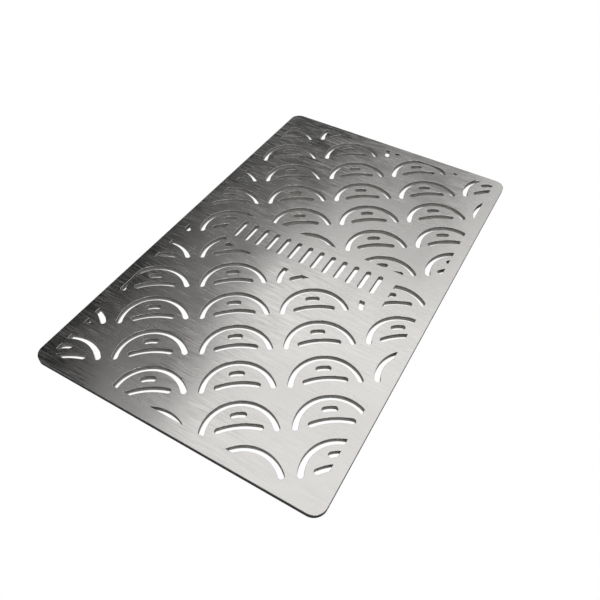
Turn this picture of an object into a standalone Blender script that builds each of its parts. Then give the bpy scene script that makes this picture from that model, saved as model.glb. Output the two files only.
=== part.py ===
"""A laser-cut stainless cooking grate: one flat plate with a pattern of arc slots.

Metres, +Z up. The origin is the middle of the underside. X runs along the short
side and Y along the long side, and the near short side is the one at -Y. The
pattern is one motif of three arc slots, set out on a turned grid, and stopped at
a plain border all round and at a plain panel in the middle. The panel holds a row
of upright slots.
"""
import math

import bmesh
import bpy

MM = 0.001

# The plate.
PLATE_LENGTH = 457.0 * MM
PLATE_WIDTH = 282.0 * MM
PLATE_THICKNESS = 5.2 * MM
CORNER_RADIUS = 11.5 * MM
CORNER_STEPS = 6

# The plain border, from the plate's edge to the straight line where slots stop.
SIDE_BORDER = 12.0 * MM
NEAR_BORDER = 12.4 * MM
FAR_BORDER = 11.5 * MM

# The motif: three arc slots that share one axis, all with round ends.
SLOT_WIDTH = 5.15 * MM
END_STEPS = 4

# The big slot is centred on the motif's centre, and so is the short one.
BIG_RADIUS = 30.25 * MM
BIG_HALF_SPAN = math.radians(81.2)
BIG_STEPS = 12

SHORT_RADIUS = 19.65 * MM
SHORT_HALF_SPAN = math.radians(12.5)
SHORT_STEPS = 3

# The middle slot is flatter: its centre of bend lies behind the motif's centre.
MIDDLE_RADIUS = 56.0 * MM
MIDDLE_HALF_SPAN = math.radians(17.65)
MIDDLE_HEIGHT = 9.07 * MM
MIDDLE_STEPS = 5

# The grid: motifs stand behind one another along their axis, in columns.
AXIS_TURN = math.radians(35.56)
MOTIF_PITCH = 40.18 * MM
COLUMN_TURN = math.radians(35.05)
COLUMN_PITCH = 74.27 * MM
GRID_START = (31.24 * MM, -169.26 * MM)
MOTIFS_EACH_WAY = 14
COLUMNS_EACH_WAY = 5
MOTIF_REACH = 36.0 * MM

# The plain panel: square at its right end, round at its left end.
PANEL_RIGHT = 94.8 * MM
PANEL_ROUND_CENTRE = -67.5 * MM
PANEL_MIDDLE_Y = 2.75 * MM
PANEL_HALF_HEIGHT = 26.0 * MM
PANEL_ROUND_STEPS = 16

# The row of upright slots in the panel.
ROW_COUNT = 13
ROW_PITCH = 13.1 * MM
ROW_SLOT_LENGTH = 26.0 * MM
ROW_SLOT_WIDTH = 5.0 * MM

# A cut smaller than this is not made.
SMALLEST_CUT = 10.6 * MM * MM

# How far each tool stands out past the plate, all different.
CUT_REACH = 3.0 * MM
LIMIT_REACH = 2.0 * MM
KEEP_REACH = 4.0 * MM


def clear_scene():
    for item in list(bpy.data.objects):
        bpy.data.objects.remove(item, do_unlink=True)


def steel_material():
    material = bpy.data.materials.new("brushed_stainless")
    material.use_nodes = True
    shader = material.node_tree.nodes["Principled BSDF"]
    shader.inputs["Base Color"].default_value = (0.60, 0.60, 0.585, 1.0)
    shader.inputs["Metallic"].default_value = 1.0
    shader.inputs["Roughness"].default_value = 0.36
    return material


def add_object(name, mesh):
    item = bpy.data.objects.new(name, mesh)
    bpy.context.scene.collection.objects.link(item)
    return item


def add_prism(shape, outline, low, high):
    """Add a closed upright prism over a flat outline to a bmesh."""
    ring = [shape.verts.new((x, y, low)) for x, y in outline]
    base = shape.faces.new(ring)
    raised = bmesh.ops.extrude_face_region(shape, geom=[base])
    top = [part for part in raised["geom"] if isinstance(part, bmesh.types.BMVert)]
    bmesh.ops.translate(shape, verts=top, vec=(0.0, 0.0, high - low))


def prism_mesh(name, outlines, reach):
    """One mesh of prisms that stand out past both faces of the plate by reach."""
    shape = bmesh.new()
    for outline in outlines:
        add_prism(shape, outline, -reach, PLATE_THICKNESS + reach)
    bmesh.ops.recalc_face_normals(shape, faces=shape.faces)
    mesh = bpy.data.meshes.new(name)
    shape.to_mesh(mesh)
    shape.free()
    return mesh


def arc_points(centre, radius, start, end, steps):
    """Points on an arc, from the start angle to the end angle, both included."""
    points = []
    for step in range(steps + 1):
        angle = start + (end - start) * step / steps
        x = centre[0] + radius * math.cos(angle)
        y = centre[1] + radius * math.sin(angle)
        points.append((x, y))
    return points


def rounded_rectangle(width, length, radius, steps):
    half_x = width / 2 - radius
    half_y = length / 2 - radius
    corners = ((half_x, half_y), (-half_x, half_y), (-half_x, -half_y), (half_x, -half_y))
    outline = []
    for turn, centre in enumerate(corners):
        start = turn * math.pi / 2
        outline += arc_points(centre, radius, start, start + math.pi / 2, steps)
    return outline


def arc_slot(bend_radius, bend_centre, half_span, steps):
    """A round-ended slot along an arc whose middle points along +Y."""
    half = SLOT_WIDTH / 2
    up = math.pi / 2
    first = up - half_span
    last = up + half_span
    centre = (0.0, bend_centre)
    right = (bend_radius * math.cos(first), bend_centre + bend_radius * math.sin(first))
    left = (bend_radius * math.cos(last), bend_centre + bend_radius * math.sin(last))
    outer = arc_points(centre, bend_radius + half, first, last, steps)
    inner = arc_points(centre, bend_radius - half, last, first, steps)
    left_end = arc_points(left, half, last, last + math.pi, END_STEPS)
    right_end = arc_points(right, half, first + math.pi, first + 2 * math.pi, END_STEPS)
    return outer + left_end[1:-1] + inner + right_end[1:-1]


def straight_slot(x, y, length, width, end_steps):
    """A round-ended upright slot centred on a point."""
    half = width / 2
    rise = length / 2 - half
    top = arc_points((x, y + rise), half, 0.0, math.pi, end_steps)
    bottom = arc_points((x, y - rise), half, math.pi, 2 * math.pi, end_steps)
    return top + bottom


def motif_outlines():
    big = arc_slot(BIG_RADIUS, 0.0, BIG_HALF_SPAN, BIG_STEPS)
    short = arc_slot(SHORT_RADIUS, 0.0, SHORT_HALF_SPAN, SHORT_STEPS)
    bend = MIDDLE_HEIGHT - MIDDLE_RADIUS
    middle = arc_slot(MIDDLE_RADIUS, bend, MIDDLE_HALF_SPAN, MIDDLE_STEPS)
    return [big, short, middle]


def grid_centres():
    """Motif centres, column by column, that come near enough to cut the plate."""
    centres = []
    for column in range(-COLUMNS_EACH_WAY, COLUMNS_EACH_WAY + 1):
        foot_x = GRID_START[0] + column * COLUMN_PITCH * math.cos(COLUMN_TURN)
        foot_y = GRID_START[1] + column * COLUMN_PITCH * math.sin(COLUMN_TURN)
        for place in range(-MOTIFS_EACH_WAY, MOTIFS_EACH_WAY + 1):
            x = foot_x - place * MOTIF_PITCH * math.sin(AXIS_TURN)
            y = foot_y + place * MOTIF_PITCH * math.cos(AXIS_TURN)
            near_x = abs(x) < PLATE_WIDTH / 2 + MOTIF_REACH
            near_y = abs(y) < PLATE_LENGTH / 2 + MOTIF_REACH
            if near_x and near_y:
                centres.append((x, y))
    return centres


def placed(outline, centre):
    """An outline turned to the motifs' axis and moved to its centre."""
    cosine = math.cos(AXIS_TURN)
    sine = math.sin(AXIS_TURN)
    return [(centre[0] + x * cosine - y * sine, centre[1] + x * sine + y * cosine) for x, y in outline]


def pattern_outlines():
    motif = motif_outlines()
    return [placed(outline, centre) for centre in grid_centres() for outline in motif]


def border_outline():
    half_x = PLATE_WIDTH / 2 - SIDE_BORDER
    far_y = PLATE_LENGTH / 2 - FAR_BORDER
    near_y = NEAR_BORDER - PLATE_LENGTH / 2
    return [(half_x, far_y), (-half_x, far_y), (-half_x, near_y), (half_x, near_y)]


def panel_outline():
    low = PANEL_MIDDLE_Y - PANEL_HALF_HEIGHT
    high = PANEL_MIDDLE_Y + PANEL_HALF_HEIGHT
    centre = (PANEL_ROUND_CENTRE, PANEL_MIDDLE_Y)
    start = math.pi / 2
    end = 3 * math.pi / 2
    left = arc_points(centre, PANEL_HALF_HEIGHT, start, end, PANEL_ROUND_STEPS)
    return left + [(PANEL_RIGHT, low), (PANEL_RIGHT, high)]


def row_outlines():
    first = -(ROW_COUNT - 1) * ROW_PITCH / 2
    places = [first + number * ROW_PITCH for number in range(ROW_COUNT)]
    return [straight_slot(x, PANEL_MIDDLE_Y, ROW_SLOT_LENGTH, ROW_SLOT_WIDTH, END_STEPS) for x in places]


def add_cutter(name, mesh):
    cutter = add_object(name, mesh)
    cutter.hide_render = True
    cutter.display_type = "WIRE"
    return cutter


def add_boolean(target, operation, tool):
    step = target.modifiers.new(operation.lower(), "BOOLEAN")
    step.operation = operation
    step.solver = "EXACT"
    step.object = tool


def connected_faces(start, seen):
    """All faces joined to one face by shared edges."""
    group = []
    waiting = [start]
    seen.add(start)
    while waiting:
        face = waiting.pop()
        group.append(face)
        for edge in face.edges:
            for other in edge.link_faces:
                if other not in seen:
                    seen.add(other)
                    waiting.append(other)
    return group


def drop_small_cuts(mesh):
    """Remove the prisms whose plan area is under the smallest cut."""
    shape = bmesh.new()
    shape.from_mesh(mesh)
    seen = set()
    small = []
    for face in shape.faces:
        if face in seen:
            continue
        group = connected_faces(face, seen)
        area = sum(part.calc_area() for part in group if part.normal.z > 0.5)
        if area < SMALLEST_CUT:
            small += group
    bmesh.ops.delete(shape, geom=small, context="FACES")
    shape.to_mesh(mesh)
    shape.free()


def pattern_cutter():
    """The pattern's prisms, stopped at the border and at the panel."""
    whole = add_cutter("pattern_tool", prism_mesh("pattern_tool", pattern_outlines(), CUT_REACH))
    limit = add_cutter("border_tool", prism_mesh("border_tool", [border_outline()], LIMIT_REACH))
    keep = add_cutter("panel_tool", prism_mesh("panel_tool", [panel_outline()], KEEP_REACH))
    add_boolean(whole, "INTERSECT", limit)
    add_boolean(whole, "DIFFERENCE", keep)
    bpy.context.view_layer.update()
    graph = bpy.context.evaluated_depsgraph_get()
    mesh = bpy.data.meshes.new_from_object(whole.evaluated_get(graph))
    drop_small_cuts(mesh)
    for tool in (whole, limit, keep):
        bpy.data.objects.remove(tool, do_unlink=True)
    return add_cutter("pattern_cutter", mesh)


def make_grate():
    outline = rounded_rectangle(PLATE_WIDTH, PLATE_LENGTH, CORNER_RADIUS, CORNER_STEPS)
    plate = add_object("grate_plate", prism_mesh("grate_plate", [outline], 0.0))
    plate.data.materials.append(steel_material())
    row = add_cutter("row_cutter", prism_mesh("row_cutter", row_outlines(), CUT_REACH))
    add_boolean(plate, "DIFFERENCE", pattern_cutter())
    add_boolean(plate, "DIFFERENCE", row)
    return plate


def main():
    clear_scene()
    make_grate()
    bpy.context.view_layer.update()


main()
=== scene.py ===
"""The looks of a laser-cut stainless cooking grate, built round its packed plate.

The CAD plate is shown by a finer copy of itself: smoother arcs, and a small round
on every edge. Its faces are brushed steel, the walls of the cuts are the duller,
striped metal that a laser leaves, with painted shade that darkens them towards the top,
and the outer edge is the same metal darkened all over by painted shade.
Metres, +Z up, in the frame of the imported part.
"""
import math

import bmesh
import bpy
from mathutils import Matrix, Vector
from mathutils.geometry import delaunay_2d_cdt


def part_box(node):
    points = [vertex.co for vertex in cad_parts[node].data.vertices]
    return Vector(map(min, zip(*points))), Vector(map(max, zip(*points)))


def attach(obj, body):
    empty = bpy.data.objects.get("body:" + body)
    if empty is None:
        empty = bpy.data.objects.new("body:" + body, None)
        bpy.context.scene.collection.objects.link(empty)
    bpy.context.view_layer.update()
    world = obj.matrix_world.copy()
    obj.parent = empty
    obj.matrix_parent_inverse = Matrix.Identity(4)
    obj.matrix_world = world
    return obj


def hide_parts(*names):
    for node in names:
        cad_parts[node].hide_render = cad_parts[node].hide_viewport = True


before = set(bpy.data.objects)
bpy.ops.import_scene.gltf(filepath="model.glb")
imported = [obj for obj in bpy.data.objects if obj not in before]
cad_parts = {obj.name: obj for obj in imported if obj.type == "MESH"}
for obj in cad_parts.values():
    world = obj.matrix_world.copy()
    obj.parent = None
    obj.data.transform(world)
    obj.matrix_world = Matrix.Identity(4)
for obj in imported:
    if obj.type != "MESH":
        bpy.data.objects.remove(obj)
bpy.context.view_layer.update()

MM = 0.001
NODE = "grate_plate"
PIECE = "grate_plate_fine"
PLATE_LOW, PLATE_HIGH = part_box(NODE)
PLATE_WIDTH = PLATE_HIGH.x - PLATE_LOW.x
PLATE_LENGTH = PLATE_HIGH.y - PLATE_LOW.y
PLATE_THICKNESS = PLATE_HIGH.z - PLATE_LOW.z

# The plate, with the same values as its CAD source.
CORNER_RADIUS = 11.5 * MM
SIDE_BORDER = 12.0 * MM
NEAR_BORDER = 12.4 * MM
FAR_BORDER = 11.5 * MM

# The motif's three arc slots.
SLOT_WIDTH = 5.15 * MM
BIG_RADIUS = 30.25 * MM
BIG_HALF_SPAN = math.radians(81.2)
SHORT_RADIUS = 19.65 * MM
SHORT_HALF_SPAN = math.radians(12.5)
MIDDLE_RADIUS = 56.0 * MM
MIDDLE_HALF_SPAN = math.radians(17.65)
MIDDLE_HEIGHT = 9.07 * MM

# The grid of motifs.
AXIS_TURN = math.radians(35.56)
MOTIF_PITCH = 40.18 * MM
COLUMN_TURN = math.radians(35.05)
COLUMN_PITCH = 74.27 * MM
GRID_START = (31.24 * MM, -169.26 * MM)
MOTIFS_EACH_WAY = 14
COLUMNS_EACH_WAY = 5
MOTIF_REACH = 36.0 * MM

# The plain panel and its row of upright slots.
PANEL_RIGHT = 94.8 * MM
PANEL_ROUND_CENTRE = -67.5 * MM
PANEL_MIDDLE_Y = 2.75 * MM
PANEL_HALF_HEIGHT = 26.0 * MM
ROW_COUNT = 13
ROW_PITCH = 13.1 * MM
ROW_SLOT_LENGTH = 26.0 * MM
ROW_SLOT_WIDTH = 5.0 * MM
SMALLEST_CUT = 10.6 * MM * MM

# How finely arcs are drawn, as the longest step round a circle, and at least this many steps.
ARC_STEP = math.radians(4.0)
END_STEP = math.radians(20.0)
FEWEST_STEPS = 4

# The small round on every edge.
EDGE_ROUND = 0.25 * MM
ROUND_STEPS = 3
SHARPEST_MITRE = 0.35
SHARP_EDGE = math.radians(40.0)
NEARLY_FLAT = 0.999
SAME_POINT = 1e-7

# Which material a face of the plate has.
FACE_STEEL = 0
CUT_STEEL = 1
# The outer edge's steel is darkened all over by painted shade.
PAINTED_SHADE_EDGE_STEEL = 2


# Outlines

def arc(centre, radius, start, end, step):
    """Points on an arc, from the start angle to the end angle, both included."""
    steps = max(FEWEST_STEPS, math.ceil(abs(end - start) / step))
    points = []
    for number in range(steps + 1):
        angle = start + (end - start) * number / steps
        points.append(Vector((centre[0] + radius * math.cos(angle), centre[1] + radius * math.sin(angle))))
    return points


def plate_outline():
    half_x = PLATE_WIDTH / 2 - CORNER_RADIUS
    half_y = PLATE_LENGTH / 2 - CORNER_RADIUS
    corners = ((half_x, half_y), (-half_x, half_y), (-half_x, -half_y), (half_x, -half_y))
    outline = []
    for turn, centre in enumerate(corners):
        start = turn * math.pi / 2
        outline += arc(centre, CORNER_RADIUS, start, start + math.pi / 2, ARC_STEP)
    return outline


def arc_slot(bend_radius, bend_centre, half_span):
    """A round-ended slot along an arc whose middle points along +Y."""
    half = SLOT_WIDTH / 2
    first = math.pi / 2 - half_span
    last = math.pi / 2 + half_span
    centre = (0.0, bend_centre)
    right = (bend_radius * math.cos(first), bend_centre + bend_radius * math.sin(first))
    left = (bend_radius * math.cos(last), bend_centre + bend_radius * math.sin(last))
    outer = arc(centre, bend_radius + half, first, last, ARC_STEP)
    inner = arc(centre, bend_radius - half, last, first, ARC_STEP)
    left_end = arc(left, half, last, last + math.pi, END_STEP)
    right_end = arc(right, half, first + math.pi, first + 2 * math.pi, END_STEP)
    return outer + left_end[1:-1] + inner + right_end[1:-1]


def upright_slot(x, y, length, width):
    half = width / 2
    rise = length / 2 - half
    top = arc((x, y + rise), half, 0.0, math.pi, END_STEP)
    bottom = arc((x, y - rise), half, math.pi, 2 * math.pi, END_STEP)
    return top + bottom


def motif_outlines():
    big = arc_slot(BIG_RADIUS, 0.0, BIG_HALF_SPAN)
    short = arc_slot(SHORT_RADIUS, 0.0, SHORT_HALF_SPAN)
    middle = arc_slot(MIDDLE_RADIUS, MIDDLE_HEIGHT - MIDDLE_RADIUS, MIDDLE_HALF_SPAN)
    return [big, short, middle]


def grid_centres():
    centres = []
    for column in range(-COLUMNS_EACH_WAY, COLUMNS_EACH_WAY + 1):
        foot_x = GRID_START[0] + column * COLUMN_PITCH * math.cos(COLUMN_TURN)
        foot_y = GRID_START[1] + column * COLUMN_PITCH * math.sin(COLUMN_TURN)
        for place in range(-MOTIFS_EACH_WAY, MOTIFS_EACH_WAY + 1):
            x = foot_x - place * MOTIF_PITCH * math.sin(AXIS_TURN)
            y = foot_y + place * MOTIF_PITCH * math.cos(AXIS_TURN)
            near_x = abs(x) < PLATE_WIDTH / 2 + MOTIF_REACH
            near_y = abs(y) < PLATE_LENGTH / 2 + MOTIF_REACH
            if near_x and near_y:
                centres.append(Vector((x, y)))
    return centres


def placed(outline, centre):
    """An outline turned to the motifs' axis and moved to its centre."""
    cosine = math.cos(AXIS_TURN)
    sine = math.sin(AXIS_TURN)
    return [centre + Vector((p.x * cosine - p.y * sine, p.x * sine + p.y * cosine)) for p in outline]


def border_outline():
    half_x = PLATE_WIDTH / 2 - SIDE_BORDER
    far_y = PLATE_LENGTH / 2 - FAR_BORDER
    near_y = NEAR_BORDER - PLATE_LENGTH / 2
    return [Vector(p) for p in ((half_x, far_y), (-half_x, far_y), (-half_x, near_y), (half_x, near_y))]


def panel_outline():
    low = PANEL_MIDDLE_Y - PANEL_HALF_HEIGHT
    high = PANEL_MIDDLE_Y + PANEL_HALF_HEIGHT
    centre = (PANEL_ROUND_CENTRE, PANEL_MIDDLE_Y)
    left = arc(centre, PANEL_HALF_HEIGHT, math.pi / 2, 3 * math.pi / 2, ARC_STEP)
    return left + [Vector((PANEL_RIGHT, low)), Vector((PANEL_RIGHT, high))]


def row_outlines():
    first = -(ROW_COUNT - 1) * ROW_PITCH / 2
    places = [first + number * ROW_PITCH for number in range(ROW_COUNT)]
    return [upright_slot(x, PANEL_MIDDLE_Y, ROW_SLOT_LENGTH, ROW_SLOT_WIDTH) for x in places]


# Flat regions: triangles between outlines, and the outlines of triangles

def triangles_between(outlines):
    """Triangles that fill all the outlines, and for each one the outlines it lies in."""
    points = []
    rings = []
    for outline in outlines:
        ring = list(range(len(points), len(points) + len(outline)))
        rings.append(ring if signed_area(outline) > 0 else ring[::-1])
        points += outline
    found = delaunay_2d_cdt(points, [], rings, 1, SAME_POINT, True)
    return found[0], found[2], found[3], found[5]


def signed_area(outline):
    return sum(a.cross(b) for a, b in zip(outline, outline[1:] + outline[:1])) / 2


def outlines_of(points, triangles):
    """The closed outlines round a set of triangles that all turn the same way."""
    sides = {}
    for a, b, c in triangles:
        sides[a, b] = sides[b, c] = sides[c, a] = True
    following = {a: b for a, b in sides if (b, a) not in sides}
    outlines = []
    while following:
        first = next(iter(following))
        here = following.pop(first)
        outline = [points[first]]
        while here != first:
            outline.append(points[here])
            here = following.pop(here)
        outlines.append(outline)
    return outlines


# Where the border and the panel stand in the list of outlines that are filled together.
BORDER = 0
PANEL = 1


def pattern_outlines():
    """The arc slots, stopped at the plain border and at the panel."""
    slots = [placed(outline, centre) for centre in grid_centres() for outline in motif_outlines()]
    points, triangles, _, owners = triangles_between([border_outline(), panel_outline()] + slots)
    cut = [corners for corners, inside in zip(triangles, owners) if in_pattern(inside)]
    return [outline for outline in outlines_of(points, cut) if abs(signed_area(outline)) > SMALLEST_CUT]


def in_pattern(inside):
    return BORDER in inside and PANEL not in inside and max(inside) > PANEL


def metal_on_left(outline, hole):
    """The outline, turned to run with the metal on its left."""
    leftward = signed_area(outline) > 0
    return outline[::-1] if leftward == hole else list(outline)


# The plate's mesh

def into_metal(outline, distance):
    """The outline moved sideways into the metal."""
    moved = []
    for before, here, after in zip(outline[-1:] + outline[:-1], outline, outline[1:] + outline[:1]):
        first = (here - before).normalized().orthogonal()
        second = (after - here).normalized().orthogonal()
        spread = max(1 + first.dot(second), SHARPEST_MITRE)
        moved.append(here + (first + second) * (distance / spread))
    return moved


def edge_profile():
    """Levels from the underside to the top: how far the wall is set back, and how high."""
    quarter = [number * math.pi / 2 / ROUND_STEPS for number in range(ROUND_STEPS + 1)]
    rounds = [(EDGE_ROUND * (1 - math.cos(angle)), EDGE_ROUND * (1 - math.sin(angle))) for angle in quarter]
    below = [(back, rise) for back, rise in reversed(rounds)]
    above = [(back, PLATE_THICKNESS - rise) for back, rise in rounds]
    return below + above


def add_ring(shape, outline, height):
    return [shape.verts.new((p.x, p.y, height)) for p in outline]


def plate_mesh():
    """The plate as one closed mesh: rings of points up every wall, and two flat faces."""
    outlines = [metal_on_left(plate_outline(), hole=False)]
    outlines += [metal_on_left(outline, hole=True) for outline in pattern_outlines() + row_outlines()]
    shape = bmesh.new()
    levels = []
    for back, height in edge_profile():
        levels.append([add_ring(shape, into_metal(outline, back), height) for outline in outlines])
    for low, high in zip(levels, levels[1:]):
        add_walls(shape, low, high)
    faces_at = [into_metal(outline, EDGE_ROUND) for outline in outlines]
    add_flat_faces(shape, faces_at, levels[0], levels[-1])
    mesh = bpy.data.meshes.new(PIECE)
    shape.to_mesh(mesh)
    shape.free()
    return mesh


def add_walls(shape, low, high):
    """Walls between two levels; the first ring of a level is the plate's outer edge."""
    steep = high[0][0].co.z - low[0][0].co.z > PLATE_THICKNESS / 2
    for number, (below, above) in enumerate(zip(low, high)):
        # The outer edge takes the steel that is darkened by painted shade.
        steel = CUT_STEEL if number else PAINTED_SHADE_EDGE_STEEL
        for a, b, c, d in zip(below, below[1:] + below[:1], above[1:] + above[:1], above):
            wall = shape.faces.new((a, b, c, d))
            wall.material_index = steel if steep else FACE_STEEL


def add_flat_faces(shape, outlines, under, upper):
    points, triangles, origins, owners = triangles_between(outlines)
    under = [point for ring in under for point in ring]
    upper = [point for ring in upper for point in ring]
    for corners, inside in zip(triangles, owners):
        if len(inside) > 1:
            continue
        numbers = [origins[corner][0] for corner in corners]
        if signed_area([points[corner] for corner in corners]) < 0:
            numbers.reverse()
        shape.faces.new([upper[number] for number in numbers])
        shape.faces.new([under[number] for number in reversed(numbers)])


def add_brushing_map(mesh):
    """A flat map whose first direction runs across the brushing, the way it spreads a highlight."""
    layer = mesh.uv_layers.new(name="brushing")
    for corner in mesh.loops:
        place = mesh.vertices[corner.vertex_index].co
        layer.data[corner.index].uv = (place.y / PLATE_LENGTH, -place.x / PLATE_LENGTH)


def make_plate():
    mesh = plate_mesh()
    mesh.set_sharp_from_angle(angle=SHARP_EDGE)
    for face in mesh.polygons:
        face.use_smooth = abs(face.normal.z) < NEARLY_FLAT
    add_brushing_map(mesh)
    mesh.materials.append(brushed_steel())
    mesh.materials.append(laser_cut_steel("laser_cut_wall", CUT_DARK, CUT_LIGHT))
    # The outer edge: the cut-edge metal, darkened all over by painted shade.
    mesh.materials.append(laser_cut_steel("outer_edge_painted_shade", EDGE_PAINTED_SHADE_DARK, EDGE_PAINTED_SHADE_LIGHT))
    plate = bpy.data.objects.new(PIECE, mesh)
    bpy.context.scene.collection.objects.link(plate)
    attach(plate, "root")
    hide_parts(NODE)
    return plate


# Materials

STEEL_DARK = (0.598, 0.594, 0.588, 1.0)
STEEL_LIGHT = (0.625, 0.621, 0.615, 1.0)
CUT_DARK = (0.16, 0.157, 0.152, 1.0)
CUT_LIGHT = (0.74, 0.73, 0.71, 1.0)
# The outer edge's colours: the cut-wall metal made far darker, painted shade.
EDGE_PAINTED_SHADE_DARK = (0.05, 0.05, 0.049, 1.0)
EDGE_PAINTED_SHADE_LIGHT = (0.08, 0.08, 0.078, 1.0)
# How far below the top face the cut walls darken: painted shade.
CUT_PAINTED_SHADE_DEPTH = 3.6 * MM

# How far each noise is drawn out: a small value makes it long along that axis.
LONG_LINES = (0.012, 1.0, 1.0)
SHORT_STREAKS = (0.06, 1.0, 1.0)
SOFT_CLOUDS = (0.6, 1.0, 1.0)
UPRIGHT_STRIPES = (1.0, 1.0, 0.06)
EVEN = (1.0, 1.0, 1.0)

# The range where most of a noise lies.
NOISE_LOW = 0.3
NOISE_HIGH = 0.7

# How much the brushing stretches a highlight, and the depth of the two bumps.
BRUSHED_ANISOTROPY = 0.35
BRUSHED_BUMP = 0.02 * MM
CUT_BUMP = 0.05 * MM


def new_material(name):
    material = bpy.data.materials.new(name)
    material.use_nodes = True
    tree = material.node_tree
    return material, tree, tree.nodes["Principled BSDF"]


def add_node(tree, kind, **settings):
    node = tree.nodes.new(kind)
    for name, value in settings.items():
        setattr(node, name, value)
    return node


def stretched_noise(tree, place, stretch, scale, detail):
    """A noise that is drawn out along the axes with a small stretch value."""
    mapping = add_node(tree, "ShaderNodeMapping")
    mapping.inputs["Scale"].default_value = stretch
    tree.links.new(place, mapping.inputs["Vector"])
    noise = add_node(tree, "ShaderNodeTexNoise")
    noise.inputs["Scale"].default_value = scale
    noise.inputs["Detail"].default_value = detail
    tree.links.new(mapping.outputs["Vector"], noise.inputs["Vector"])
    return noise.outputs["Fac"]


def remap(tree, value, low, high):
    """The value, over the range where most noise lies, spread over low to high."""
    node = add_node(tree, "ShaderNodeMapRange")
    node.inputs["From Min"].default_value = NOISE_LOW
    node.inputs["From Max"].default_value = NOISE_HIGH
    node.inputs["To Min"].default_value = low
    node.inputs["To Max"].default_value = high
    tree.links.new(value, node.inputs["Value"])
    return node.outputs["Result"]


def combine(tree, operation, first, second):
    node = add_node(tree, "ShaderNodeMath", operation=operation)
    for socket, value in zip(node.inputs, (first, second)):
        if isinstance(value, float):
            socket.default_value = value
        else:
            tree.links.new(value, socket)
    return node.outputs["Value"]


def tinted(tree, factor, dark, light):
    node = add_node(tree, "ShaderNodeMix", data_type="RGBA")
    node.inputs["A"].default_value = dark
    node.inputs["B"].default_value = light
    tree.links.new(factor, node.inputs["Factor"])
    return node.outputs["Result"]


def add_bump(tree, shader, height, strength, distance):
    bump = add_node(tree, "ShaderNodeBump")
    bump.inputs["Strength"].default_value = strength
    bump.inputs["Distance"].default_value = distance
    tree.links.new(height, bump.inputs["Height"])
    tree.links.new(bump.outputs["Normal"], shader.inputs["Normal"])


def brushed_steel():
    """Satin steel, brushed along X: scratches and streaks in it, and soft clouds, all differ in gloss."""
    material, tree, shader = new_material("brushed_face")
    place = add_node(tree, "ShaderNodeTexCoord").outputs["Object"]
    lines = stretched_noise(tree, place, LONG_LINES, 2600.0, 3.0)
    scratches = stretched_noise(tree, place, SHORT_STREAKS, 900.0, 1.0)
    streaks = stretched_noise(tree, place, SHORT_STREAKS, 400.0, 3.0)
    clouds = stretched_noise(tree, place, SOFT_CLOUDS, 40.0, 5.0)
    shade = combine(tree, "ADD", remap(tree, lines, 0.0, 0.35), remap(tree, streaks, 0.0, 0.35))
    shade = combine(tree, "ADD", shade, remap(tree, clouds, 0.0, 0.30))
    colour = tinted(tree, shade, STEEL_DARK, STEEL_LIGHT)
    tree.links.new(colour, shader.inputs["Base Color"])
    rough = combine(tree, "ADD", remap(tree, clouds, 0.175, 0.245), remap(tree, streaks, -0.025, 0.025))
    rough = combine(tree, "ADD", rough, remap(tree, scratches, -0.065, 0.065))
    tree.links.new(rough, shader.inputs["Roughness"])
    shader.inputs["Metallic"].default_value = 1.0
    shader.inputs["Anisotropic"].default_value = BRUSHED_ANISOTROPY
    tangent = add_node(tree, "ShaderNodeTangent", direction_type="UV_MAP", uv_map="brushing")
    tree.links.new(tangent.outputs["Tangent"], shader.inputs["Tangent"])
    grain = combine(tree, "ADD", lines, combine(tree, "MULTIPLY", streaks, 0.5))
    add_bump(tree, shader, grain, 0.12, BRUSHED_BUMP)
    return material


def laser_cut_steel(name, dark, light):
    """A cut edge: dull, with fine upright stripes, and darker towards the top by painted shade."""
    material, tree, shader = new_material(name)
    place = add_node(tree, "ShaderNodeTexCoord").outputs["Object"]
    stripes = stretched_noise(tree, place, UPRIGHT_STRIPES, 1900.0, 2.0)
    stains = stretched_noise(tree, place, EVEN, 160.0, 3.0)
    # Painted shade: the colour darkens towards the top of the wall, over its top few millimetres.
    height = add_node(tree, "ShaderNodeSeparateXYZ")
    tree.links.new(place, height.inputs["Vector"])
    depth = add_node(tree, "ShaderNodeMapRange")
    depth.inputs["From Min"].default_value = PLATE_HIGH.z
    depth.inputs["From Max"].default_value = PLATE_HIGH.z - CUT_PAINTED_SHADE_DEPTH
    tree.links.new(height.outputs["Z"], depth.inputs["Value"])
    # Stripes and stains are the metal's own tone; the darkening towards the top is painted shade.
    shade = combine(tree, "ADD", remap(tree, stripes, -0.15, 0.15), remap(tree, stains, -0.1, 0.1))
    shade = combine(tree, "ADD", shade, depth.outputs["Result"])
    colour = tinted(tree, shade, dark, light)
    tree.links.new(colour, shader.inputs["Base Color"])
    tree.links.new(remap(tree, stripes, 0.5, 0.64), shader.inputs["Roughness"])
    shader.inputs["Metallic"].default_value = 1.0
    add_bump(tree, shader, stripes, 0.35, CUT_BUMP)
    return material


# The studio

FLOOR_RADIUS = 6.0
FLOOR_SEGMENTS = 96
FLOOR_GAP = 0.2 * MM
FLOOR_GREY = (0.8, 0.8, 0.8, 1.0)
FLOOR_ROUGHNESS = 0.9
WHITE = (1.0, 1.0, 1.0, 1.0)


def white_to_the_camera(tree, output, lit):
    """The camera sees plain white, and the metal reflects what is lit."""
    seen = add_node(tree, "ShaderNodeLightPath").outputs["Is Camera Ray"]
    is_material = output.type == "OUTPUT_MATERIAL"
    white = add_node(tree, "ShaderNodeEmission" if is_material else "ShaderNodeBackground")
    white.inputs["Color"].default_value = WHITE
    white.inputs["Strength"].default_value = 1.0
    mix = add_node(tree, "ShaderNodeMixShader")
    tree.links.new(seen, mix.inputs["Fac"])
    tree.links.new(lit, mix.inputs[1])
    tree.links.new(white.outputs[0], mix.inputs[2])
    tree.links.new(mix.outputs["Shader"], output.inputs["Surface"])


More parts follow.
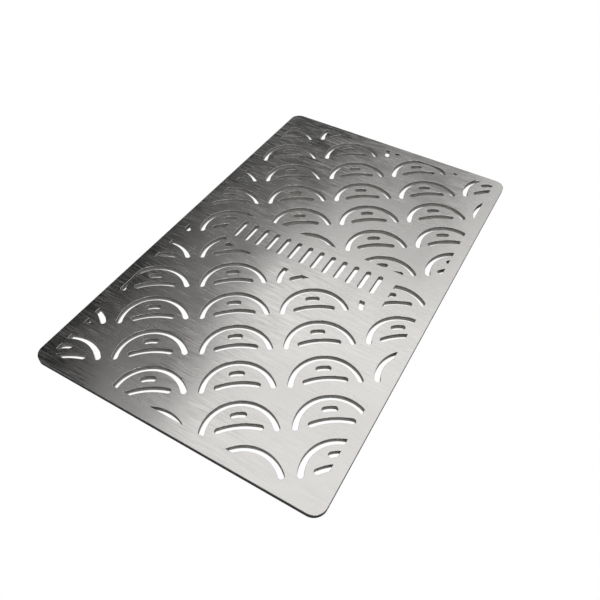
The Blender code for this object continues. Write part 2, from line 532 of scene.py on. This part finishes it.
def make_floor():
    """A wide pale disc just under the plate."""
    shape = bmesh.new()
    bmesh.ops.create_circle(shape, cap_ends=True, segments=FLOOR_SEGMENTS, radius=FLOOR_RADIUS)
    mesh = bpy.data.meshes.new("studio_floor")
    shape.to_mesh(mesh)
    shape.free()
    floor = bpy.data.objects.new("studio_floor", mesh)
    floor.location.z = PLATE_LOW.z - FLOOR_GAP
    bpy.context.scene.collection.objects.link(floor)
    material, tree, shader = new_material("pale_floor")
    shader.inputs["Base Color"].default_value = FLOOR_GREY
    shader.inputs["Roughness"].default_value = FLOOR_ROUGHNESS
    white_to_the_camera(tree, tree.nodes["Material Output"], shader.outputs["BSDF"])
    mesh.materials.append(material)


# The room: pale walls up to a low height all round, a dark ceiling, and flat softboxes under it.
WALL_TOP = 0.47
WALL_FADE = 0.14
WALL_LIGHT = 0.9
CEILING_LIGHT = 0.004
SOFTBOX_HEIGHT = 2.0
SOFTBOX_COLOUR = (1.0, 0.985, 0.968)


def make_room():
    world = bpy.data.worlds.new("studio_room")
    world.use_nodes = True
    bpy.context.scene.world = world
    tree = world.node_tree
    direction = add_node(tree, "ShaderNodeTexCoord").outputs["Generated"]
    height = add_node(tree, "ShaderNodeSeparateXYZ")
    tree.links.new(direction, height.inputs["Vector"])
    wall = add_node(tree, "ShaderNodeMapRange", interpolation_type="SMOOTHSTEP")
    wall.inputs["From Min"].default_value = WALL_TOP
    wall.inputs["From Max"].default_value = WALL_TOP - WALL_FADE
    wall.inputs["To Min"].default_value = CEILING_LIGHT
    wall.inputs["To Max"].default_value = WALL_LIGHT
    tree.links.new(height.outputs["Z"], wall.inputs["Value"])
    room = tree.nodes["Background"]
    room.inputs["Color"].default_value = WHITE
    tree.links.new(wall.outputs["Result"], room.inputs["Strength"])
    white_to_the_camera(tree, tree.nodes["World Output"], room.outputs["Background"])


def add_softbox(name, x_range, y_range, brightness):
    """A flat lamp that faces down; its brightness is per square metre."""
    lamp = bpy.data.lights.new(name, "AREA")
    lamp.shape = "RECTANGLE"
    lamp.size = x_range[1] - x_range[0]
    lamp.size_y = y_range[1] - y_range[0]
    lamp.energy = brightness * lamp.size * lamp.size_y
    lamp.color = SOFTBOX_COLOUR
    softbox = bpy.data.objects.new(name, lamp)
    softbox.location = (sum(x_range) / 2, sum(y_range) / 2, SOFTBOX_HEIGHT)
    bpy.context.scene.collection.objects.link(softbox)


FRONT_LAMP_PLACE = Vector((0.45, -0.55, 0.50))
FRONT_LAMP_SIZE = 0.25
FRONT_LAMP_ENERGY = 1.3


def add_front_lamp():
    """A small lamp beside the camera: it lights the walls of the cuts, and the faces mirror it elsewhere."""
    lamp = bpy.data.lights.new("front_lamp", "AREA")
    lamp.size = FRONT_LAMP_SIZE
    lamp.energy = FRONT_LAMP_ENERGY
    front = bpy.data.objects.new("front_lamp", lamp)
    front.location = FRONT_LAMP_PLACE
    front.rotation_euler = FRONT_LAMP_PLACE.to_track_quat("Z", "Y").to_euler()
    bpy.context.scene.collection.objects.link(front)


def make_lamps():
    """Big softboxes over the right side, and weaker ones over the left, where the steel looks darker."""
    add_softbox("near_softbox", (-0.97, 1.80), (-0.30, 0.98), 3.75)
    add_softbox("main_softbox", (-1.08, 1.80), (1.00, 1.90), 3.90)
    add_softbox("middle_softbox", (-0.30, 1.80), (1.92, 2.60), 3.20)
    add_softbox("middle_fill", (-1.04, -0.32), (1.92, 2.60), 2.35)
    add_softbox("back_softbox", (-0.30, 1.80), (2.62, 3.70), 2.7)
    add_softbox("back_fill", (-1.00, -0.32), (2.62, 3.03), 0.75)
    add_softbox("far_softbox", (-1.05, -0.32), (3.05, 4.20), 1.15)
    add_softbox("far_left_strip", (-1.60, -1.09), (2.12, 2.70), 0.35)
    add_softbox("left_strip", (-1.64, -1.09), (1.42, 2.10), 0.68)
    add_softbox("near_left_strip", (-1.56, -1.09), (0.76, 1.40), 0.62)
    add_softbox("corner_strip", (-1.60, -0.99), (0.64, 0.74), 1.3)
    add_softbox("low_strip", (-1.36, -0.99), (0.20, 0.60), 1.4)
    add_front_lamp()


# The camera stands beyond the near right corner and looks down across the plate, to the far left.
CAMERA_PLACE = (0.1960, -0.3809, PLATE_HIGH.z + 0.4184)
CAMERA_TURN_DEGREES = (41.45, -1.79, 29.61)
CAMERA_LENS = 35.35
SENSOR_WIDTH = 36.0


def make_camera():
    camera = bpy.data.objects.new("camera", bpy.data.cameras.new("camera"))
    camera.data.lens = CAMERA_LENS
    camera.data.sensor_width = SENSOR_WIDTH
    camera.location = CAMERA_PLACE
    camera.rotation_euler = [math.radians(turn) for turn in CAMERA_TURN_DEGREES]
    bpy.context.scene.collection.objects.link(camera)
    bpy.context.scene.camera = camera


make_camera()
make_floor()
make_room()
make_lamps()
make_plate()
bpy.context.scene.view_settings.view_transform = "Standard"
